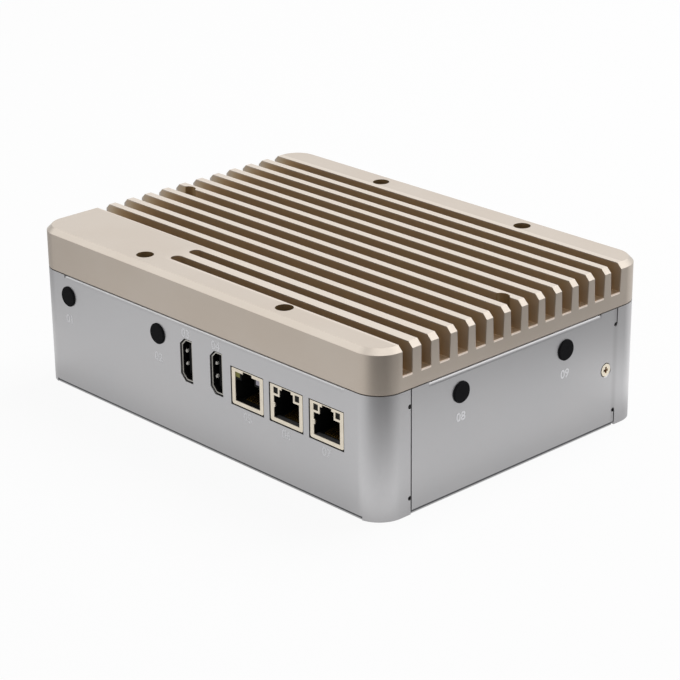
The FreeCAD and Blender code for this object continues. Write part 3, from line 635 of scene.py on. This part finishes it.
DULL = {"Specular_IOR_Level": 0.12}
FINISHES = {
    "lid_anodised": lid_anodised,
    "shell_metal": shell_metal,
    "screw_dark": grainy("black_oxide", rgb(58, 52, 46), 0.8, 0.42, 0.3 * MM, 0.003 * MM),
    "screw_nickel": grainy("nickel_screw", rgb(226, 216, 196), 0.9, 0.26, 0.3 * MM, 0.002 * MM),
    "post_brass": grainy("turned_brass", rgb(206, 176, 112), 0.9, 0.3, 0.3 * MM, 0.002 * MM),
    "light_window": grainy("light_window_plastic", rgb(96, 94, 78), 0.0, 0.25, 0.3 * MM, 0.002 * MM),
    "board_green": grainy("solder_mask", rgb(24, 74, 46), 0.0, 0.35, 0.6 * MM, 0.01 * MM),
    "board_black": grainy("black_mask", rgb(30, 30, 34), 0.0, 0.35, 0.6 * MM, 0.01 * MM),
    "chip_black": grainy("moulded_chip", rgb(38, 38, 40), 0.0, 0.55, 0.2 * MM, 0.006 * MM),
    "capacitor_can": grainy("drawn_can", rgb(200, 200, 204), 0.9, 0.3, 0.4 * MM, 0.002 * MM),
    "plastic_black": grainy("moulded_black", rgb(12, 12, 12), 0.0, 0.6, 0.25 * MM, 0.006 * MM, **DULL),
    "cell_steel": grainy("cell_can", rgb(206, 206, 208), 0.9, 0.25, 0.5 * MM, 0.002 * MM),
    "thermal_grey": grainy("soft_pad", rgb(140, 146, 156), 0.0, 0.8, 0.4 * MM, 0.02 * MM),
    "block_aluminium": grainy("milled_block", rgb(206, 206, 208), 0.9, 0.35, 0.6 * MM, 0.004 * MM),
    "jack_nickel": grainy("nickel_sheet", rgb(232, 222, 204), 0.75, 0.3, 0.4 * MM, 0.002 * MM),
    "contact_gold": grainy("gold_contact", rgb(150, 120, 62), 0.95, 0.3, 0.3 * MM, 0.001 * MM),
    "plug_rubber": grainy("black_rubber", rgb(17, 17, 19), 0.0, 0.8, 0.3 * MM, 0.01 * MM, **DULL),
    "terminal_green": grainy("terminal_plastic", rgb(46, 108, 66), 0.0, 0.45, 0.25 * MM, 0.006 * MM),
    "button_plastic": grainy("button_black", rgb(30, 30, 31), 0.0, 0.35, 0.25 * MM, 0.004 * MM),
}


def dress(name, material):
    for material_slot in nodes[name].material_slots:
        material_slot.material = material


for row in frame["record"]["subparts"]:
    dress(row["node"], FINISHES[row["material_slot"]])


# %% [markdown]
# Finishes that change along a piece
#
# A few pieces have more than one finish. The bottom cover shows its cut edge as a thin
# dark line under the silver walls: a painted shade, dark above the lowest half millimetre
# of the edge. A video socket is a plated tube whose inside is lined with black plastic, so
# only its rim is bright. In two network sockets the front of the floor is grey. The lamps
# of the network sockets are unlit windows: smoky, apart from the first socket's, which are
# clear. All of these are masks made from a place on the object.

# %% Cut edge, rims and windows
# Painted shade on the cover's upright edge, above a given height:
EDGE_SHADE = rgb(84, 85, 87)
EDGE_SHADE_FROM = 0.55 * MM
LINING = rgb(9, 9, 9)
LINING_ROUGH = 0.6
RIM_DEPTH = 0.3 * MM
RIM_METALLIC = 0.8
RIM_ROUGH = 0.35
LEDGE_GREY = rgb(84, 84, 86)
LEDGE_DEEP = 2.3 * MM
LEDGE_HIGH = 3.0 * MM
LEDGE_FLAT = (0.5, 0.8)
NICKEL_DIM = rgb(176, 173, 166)
WINDOW_SMOKE = rgb(26, 26, 24)
WINDOW_OLIVE = rgb(138, 136, 78)
WINDOW_GREY = rgb(176, 172, 182)


def cover_colour(recipe):
    # Painted shade: the upright edge is dark above its lowest half millimetre.
    shaded_band = recipe.axis(recipe.place(), "Z") > EDGE_SHADE_FROM
    return recipe.mix(recipe.upright() * shaded_band, shell_colour(recipe), EDGE_SHADE)


def ledge_colour(recipe):
    """Black, and greyer on the front of the floor."""
    place = recipe.place()
    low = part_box("network_shield_2")[0]
    front = (recipe.axis(place, "Y") < low.y + LEDGE_DEEP) * (recipe.axis(place, "Z") < low.z + LEDGE_HIGH)
    return recipe.mix(front * recipe.facing("Z").ramp(*LEDGE_FLAT), LINING, LEDGE_GREY)


def rim_mask(recipe):
    """1 on the rim of a video socket, 0 on its black lining."""
    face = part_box("video_shell_1")[0].y
    return recipe.axis(recipe.place(), "Y") < face + RIM_DEPTH


def window_colour(recipe):
    """Olive and grey in the first socket's two windows, smoky in the others."""
    across = recipe.axis(recipe.place(), "X")
    low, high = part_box("network_shield_1")
    first = across < high.x
    left = across < (low.x + high.x) / 2
    clear = recipe.mix(left, WINDOW_GREY, WINDOW_OLIVE)
    return recipe.mix(first, WINDOW_SMOKE, clear)


dress("bottom_cover", sheet_finish("cover_finish", cover_colour))
video_finish = finish("video_socket_finish", Base_Color=lambda r: r.mix(rim_mask(r), LINING, NICKEL_DIM),
                      Metallic=lambda r: rim_mask(r) * RIM_METALLIC,
                      Roughness=lambda r: LINING_ROUGH - rim_mask(r) * (LINING_ROUGH - RIM_ROUGH),
                      Normal=grain(0.3 * MM, 0.002 * MM), **DULL)
insert_finish = finish("network_insert_finish", Base_Color=ledge_colour, Roughness=LINING_ROUGH,
                       Normal=grain(0.25 * MM, 0.006 * MM), **DULL)
window_finish = finish("window_finish", Base_Color=window_colour, Roughness=0.5,
                       Normal=grain(0.4 * MM, 0.002 * MM), **DULL)
for name in ("video_shell_1", "video_shell_2"):
    dress(name, video_finish)
for name in ("network_insert_2", "network_insert_3"):
    dress(name, insert_finish)
dress("network_lights", window_finish)


# %% [markdown]
# Small pieces of our own
#
# Screws, springs and printed numbers are too fine for the solids, so we model them here.
# A turned piece is a profile swept round an axis, a recess is cut with a Boolean
# modifier, and every new piece is put where a solid of the frame already is. For that we
# need each solid's own corners, also where one node holds a whole set of screws.

# %% Modelling tools
ROUND_STEPS = 40
CLOSE = 0.001 * MM


def solids_of(name):
    """The lowest and highest corner of each separate solid in a node."""
    shape = bmesh.new()
    shape.from_mesh(nodes[name].data)
    bmesh.ops.remove_doubles(shape, verts=shape.verts, dist=CLOSE)
    waiting = set(shape.verts)
    boxes = []
    while waiting:
        queue = [waiting.pop()]
        low, high = queue[0].co.copy(), queue[0].co.copy()
        while queue:
            vert = queue.pop()
            low = Vector(map(min, low, vert.co))
            high = Vector(map(max, high, vert.co))
            near = {edge.other_vert(vert) for edge in vert.link_edges} & waiting
            waiting -= near
            queue += near
        boxes.append((low, high))
    shape.free()
    return sorted(boxes, key=lambda corners: tuple(corners[0]))


def to_mesh(name, shape):
    mesh = bpy.data.meshes.new(name)
    bmesh.ops.recalc_face_normals(shape, faces=shape.faces)
    shape.to_mesh(mesh)
    shape.free()
    return mesh


def join_rings(shape, rings):
    """Skins rings of points, each as long as the next, and closes both ends."""
    for low, high in zip(rings, rings[1:]):
        for i in range(len(low)):
            j = (i + 1) % len(low)
            shape.faces.new((low[i], low[j], high[j], high[i]))
    shape.faces.new(rings[0])
    shape.faces.new(rings[-1])


def turned(name, profile):
    """A closed piece turned round Z from (radius, height) pairs."""
    shape = bmesh.new()
    angles = [2 * math.pi * i / ROUND_STEPS for i in range(ROUND_STEPS)]
    rings = [[shape.verts.new((r * math.cos(a), r * math.sin(a), z)) for a in angles] for r, z in profile]
    join_rings(shape, rings)
    return to_mesh(name, shape)


def cross_cutter(depth, wide, long, taper):
    """A tapered cross recess; taper pairs a height in depths with a share of the width."""
    shape = bmesh.new()
    rings = []
    for height, share in taper:
        z, thick, reach = height * depth, wide / 2 * share, long / 2 * share
        outline = []
        for cos, sin in ((1, 0), (0, 1), (-1, 0), (0, -1)):
            for x, y in ((thick, thick), (thick, reach), (-thick, reach)):
                outline.append((x * cos - y * sin, x * sin + y * cos))
        rings.append([shape.verts.new((x, y, z)) for x, y in outline])
    join_rings(shape, rings)
    return to_mesh("cutter", shape)


def carve(mesh, cutter):
    """What is left of a mesh when the cutter's form is taken out of it."""
    body, tool = bpy.data.objects.new("body", mesh), bpy.data.objects.new("tool", cutter)
    for thing in (body, tool):
        bpy.context.scene.collection.objects.link(thing)
    cut = body.modifiers.new("cut", "BOOLEAN")
    cut.object = tool
    cut.solver = "EXACT"
    graph = bpy.context.evaluated_depsgraph_get()
    result = bpy.data.meshes.new_from_object(body.evaluated_get(graph))
    for thing in (body, tool):
        bpy.data.objects.remove(thing)
    return result


def place_copies(name, mesh, places):
    """One mesh with a copy of the given one at each place."""
    shape = bmesh.new()
    for place in places:
        part = mesh.copy()
        part.transform(place)
        shape.from_mesh(part)
    return to_mesh(name, shape)


def add_piece(name, mesh, slot_name, material, *stands_for):
    """Adds a mesh as a piece that rides on the chassis and may stand for plain solids."""
    mesh.name = name
    mesh.materials.clear()
    mesh.materials.append(material)
    piece = bpy.data.objects.new(name, mesh)
    bpy.context.scene.collection.objects.link(piece)
    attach(piece, BODY)
    if stands_for:
        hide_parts(*stands_for)
    return piece


# %% [markdown]
# Screws
#
# Six pan-head screws hold the lid, each at the bottom of its counterbore. They are black
# oxide steel. Two countersunk screws hold the cover's ears from the sides, flush with the
# sheet and nickel plated. Both kinds have a cross recess, which is widest at its mouth.
# In the plated ones it gets a brown painted shade.

# %% Screws
HEAD_T = 1.9 * MM
HEAD_FLAT = 0.7 * MM
HEAD_R = 2.75 * MM
HEAD_SQUARE = 0.45
CONE_DEEP = 1.1 * MM
CONE_R = 2.34 * MM
FACE_R = 2.3 * MM
FACE_BREAK = 0.05 * MM
SHANK_R = 1.5 * MM
TIP_R = 1.2 * MM
TIP_LONG = 0.3 * MM
CROSS = {"depth": 1.2 * MM, "wide": 0.9 * MM, "long": 2.5 * MM, "taper": ((0.5, 1.25), (-1.0, 0.5))}
# In degrees; no two lid screws come to rest at the same turn.
FIRST_TURN = 25
NEXT_TURN = 41
RECESS_EDGE = 0.15 * MM
# Painted shade in the side screws' recesses:
RECESS_SHADE = rgb(160, 134, 106)
SIDE_NICKEL = rgb(240, 230, 210)


def pan_profile(length):
    rise = HEAD_T - HEAD_FLAT
    angles = [math.radians(degrees) for degrees in range(0, 88, 8)]
    head = [(HEAD_R * math.cos(a) ** HEAD_SQUARE, rise * (math.sin(a) - 1)) for a in angles]
    return [(TIP_R, -length), (SHANK_R, TIP_LONG - length), (SHANK_R, -HEAD_T), (HEAD_R, -HEAD_T)] + head


def flush_profile(length):
    return [(TIP_R, -length), (SHANK_R, TIP_LONG - length), (SHANK_R, -CONE_DEEP),
            (CONE_R, -FACE_BREAK), (FACE_R, 0.0)]


def side_screw_colour(recipe):
    """Nickel on the flat of the head, and a brown painted shade where the recess goes in."""
    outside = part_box("side_screws")[1].x - RECESS_EDGE
    deep = abs(recipe.axis(recipe.place(), "X")) < outside
    return recipe.mix(deep, clouded(recipe, SIDE_NICKEL, 2.0 * MM), RECESS_SHADE)


def add_lid_screws():
    boxes = solids_of("lid_screws")
    low, high = boxes[0]
    screw = carve(turned("screw", pan_profile(high.z - low.z)), cross_cutter(**CROSS))
    places = []
    for i, (low, high) in enumerate(boxes):
        turn = math.radians(FIRST_TURN + NEXT_TURN * i)
        places.append(Matrix.Translation(((low.x + high.x) / 2, (low.y + high.y) / 2, high.z)) @
                      Matrix.Rotation(turn, 4, "Z"))
    mesh = place_copies("lid_screws_cross", screw, places)
    return add_piece("lid_screws_cross", mesh, "screw_dark", FINISHES["screw_dark"], "lid_screws")


def add_side_screws():
    boxes = solids_of("side_screws")
    low, high = boxes[0]
    screw = carve(turned("screw", flush_profile(high.x - low.x)), cross_cutter(**CROSS))
    places = []
    for low, high in boxes:
        side = math.copysign(1, low.x)
        face = high.x if side > 0 else low.x
        places.append(Matrix.Translation((face, (low.y + high.y) / 2, (low.z + high.z) / 2)) @
                      Matrix.Rotation(side * math.pi / 2, 4, "Y"))
    mesh = place_copies("side_screws_cross", screw, places)
    nickel = finish("side_screw_finish", Base_Color=side_screw_colour, Metallic=0.75, Roughness=0.3,
                    Normal=grain(0.3 * MM, 0.002 * MM))
    return add_piece("side_screws_cross", mesh, "screw_nickel", nickel, "side_screws")


for piece in (add_lid_screws(), add_side_screws()):
    print(piece.name, "faces:", len(piece.data.polygons))


# %% [markdown]
# Contact springs
#
# In each video socket two springs press on the plug, and from outside their bumps show as
# two bright dots in the black, painted as a near-white highlight. Each network socket has a
# finger on its right flank that touches the sheet and earths the shield, and two of them
# show a spring bump at the side of the mouth.

# %% Springs
DOT_R = 0.8 * MM
DOT_RISE = 0.5 * MM
DOT_SPACE = 2.42 * MM
DOT_IN = 2.1 * MM
DOT_SINK = 0.4 * MM
DOT_RIM = 0.1 * MM
# Painted highlight for the video springs' dots:
DOT_HIGHLIGHT = rgb(252, 249, 240)
BUMP_R = 0.55 * MM
BUMP_TALL = 2.0 * MM
BUMP_SIDE = 1.7 * MM
BUMP_IN = 0.3 * MM
BUMP_LOWER = 0.8 * MM
FINGER_T = 0.32 * MM
FINGER_TALL = 7.5 * MM
FINGER_LONG = 6.0 * MM
FINGER_IN = 0.5 * MM
FINGER_UP = 1.2 * MM
FINGER_STEPS = 12


def dome(radius, rise, rim):
    """A shallow round bump on Z, with a short rim below it."""
    angles = [math.radians(degrees) for degrees in range(0, 88, 12)]
    bulge = [(radius * math.cos(a), rise * math.sin(a)) for a in angles]
    return turned("dome", [(radius, -rim)] + bulge)


def add_video_dots():
    places = []
    for number in (1, 2):
        low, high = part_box("video_shell_%d" % number)
        middle = (low.z + high.z) / 2
        places += [Matrix.Translation((low.x + DOT_SINK, low.y + DOT_IN, middle + side * DOT_SPACE)) @
                   Matrix.Rotation(math.pi / 2, 4, "Y") for side in (-1, 1)]
    mesh = place_copies("video_springs", dome(DOT_R, DOT_RISE, DOT_RIM), places)
    # Painted highlight: the dots are a near-white, barely metallic copy of the nickel.
    highlight_finish = grainy("spring_painted_highlight", DOT_HIGHLIGHT, 0.1, 0.2, 0.3 * MM, 0.001 * MM)
    return add_piece("video_springs", mesh, "jack_nickel", highlight_finish)


def capsule(radius, tall):
    """A small bump with round ends, standing along Z."""
    angles = [math.radians(degrees) for degrees in range(10, 91, 20)]
    low_end = [(radius * math.sin(a), -tall / 2 + radius * (1 - math.cos(a))) for a in angles]
    return turned("bump", low_end + [(r, -z) for r, z in reversed(low_end)])


def finger(thick, long, tall):
    """A bowed spring leaf: along Y it starts and ends on the shield and bulges outwards."""
    shape = bmesh.new()
    shares = [i / FINGER_STEPS for i in range(FINGER_STEPS + 1)]
    outer = [(-thick / 3 + thick * math.sin(math.pi * share), long * share) for share in shares]
    inner = [(-thick / 2, y) for _, y in reversed(outer)]
    join_rings(shape, [[shape.verts.new((x, y, z)) for x, y in outer + inner] for z in (0, tall)])
    return to_mesh("finger", shape)


def add_jack_springs():
    bumps, fingers = [], []
    for number in (1, 2, 3):
        low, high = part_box("network_shield_%d" % number)
        if number > 1:
            height = (low.z + high.z) / 2 - BUMP_LOWER
            bumps.append(Matrix.Translation((low.x + BUMP_SIDE, low.y + BUMP_IN, height)))
        fingers.append(Matrix.Translation((high.x, low.y + FINGER_IN, low.z + FINGER_UP)))
    leaf = finger(FINGER_T, FINGER_LONG, FINGER_TALL)
    for name, mesh, places in (("jack_springs", capsule(BUMP_R, BUMP_TALL), bumps),
                               ("jack_fingers", leaf, fingers)):
        add_piece(name, place_copies(name, mesh, places), "jack_nickel", FINISHES["jack_nickel"])


add_video_dots()
add_jack_springs()


# %% [markdown]
# Printed numbers
#
# Sockets on such a box are labelled in a pale grey print that is hardly lighter than the
# metal. Ours are plain port numbers. Each is a text object turned into a mesh that
# stands a few hundredths of a millimetre proud of the sheet, as screen print does.

# %% Port numbers
PRINT_PALE = rgb(240, 240, 242)
PRINT = finish("pale_print", Base_Color=lambda r: clouded(r, PRINT_PALE, 0.5 * MM),
               Roughness=0.6, Normal=grain(0.2 * MM, 0.004 * MM))
NUMBER_SIZE = 4.4 * MM
NUMBER_BOLD = 0.10 * MM
PRINT_T = 0.03 * MM
BELOW_PLUG = 9.0 * MM
ABOVE_VIDEO = 2.4 * MM
BELOW_JACK = 3.3 * MM


def number_mesh(text):
    curve = bpy.data.curves.new("number", "FONT")
    curve.body = text
    curve.size = NUMBER_SIZE
    curve.align_x = "CENTER"
    curve.align_y = "CENTER"
    curve.extrude = PRINT_T
    curve.offset = NUMBER_BOLD
    curve.resolution_u = 4
    thing = bpy.data.objects.new("number", curve)
    bpy.context.scene.collection.objects.link(thing)
    graph = bpy.context.evaluated_depsgraph_get()
    mesh = bpy.data.meshes.new_from_object(thing.evaluated_get(graph))
    bpy.data.objects.remove(thing)
    return mesh


def port_places():
    """Each number, its middle on the sheet, and how far it is turned round Z."""
    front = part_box("front_panel")[0].y
    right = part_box("side_rear_shell")[1].x
    for number in (1, 2, 3, 4):
        low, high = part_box("antenna_plug_%d" % number)
        x, y, z = (low + high) / 2
        if number < 3:
            yield "%02d" % number, (x, front, z - BELOW_PLUG), 0.0
        else:
            yield "%02d" % (number + 5), (right, y, z - BELOW_PLUG), math.pi / 2
    for number in (1, 2):
        low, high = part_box("video_shell_%d" % number)
        yield "%02d" % (number + 2), ((low.x + high.x) / 2, front, high.z + ABOVE_VIDEO), 0.0
    for number in (1, 2, 3):
        low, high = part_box("network_shield_%d" % number)
        yield "%02d" % (number + 4), ((low.x + high.x) / 2, front, low.z - BELOW_JACK), 0.0


def add_numbers():
    for text, place, turn in port_places():
        mesh = number_mesh(text)
        mesh.transform(Matrix.Translation(place) @ Matrix.Rotation(turn, 4, "Z") @
                       Matrix.Rotation(math.pi / 2, 4, "X"))
        add_piece("number_" + text, mesh, "shell_metal", PRINT)


add_numbers()


# %% [markdown]
# Soft edges
#
# No real edge is a perfect corner: a milled one is broken by a few tenths of a millimetre
# and a sheared one by less, and that narrow band catches the light. A Bevel modifier
# rounds the solids' edges. Imported meshes have their corners split and their flat faces
# in triangles, so a Weld modifier joins the corners and a Decimate modifier merges each
# flat face first. A Weighted Normal modifier then keeps the flat faces flat.

# %% Round the edges
EDGE_RADII = {"heatsink_lid": 0.3, "front_panel": 0.15, "side_rear_shell": 0.15, "bottom_cover": 0.2}
FLAT_WITHIN = math.radians(0.2)
SHARP_FROM = math.radians(30)


def soften(piece, radius):
    weld = piece.modifiers.new("weld", "WELD")
    weld.merge_threshold = CLOSE
    plane = piece.modifiers.new("plane", "DECIMATE")
    plane.decimate_type = "DISSOLVE"
    plane.angle_limit = FLAT_WITHIN
    bevel = piece.modifiers.new("bevel", "BEVEL")
    bevel.width = radius
    bevel.segments = 2
    bevel.limit_method = "ANGLE"
    bevel.angle_limit = SHARP_FROM
    bevel.harden_normals = False
    flat = piece.modifiers.new("weighted_normal", "WEIGHTED_NORMAL")
    flat.keep_sharp = False
    flat.weight = 100


for name, radius in EDGE_RADII.items():
    soften(nodes[name], radius * MM)
    print("softened", name, "by", radius, "mm")
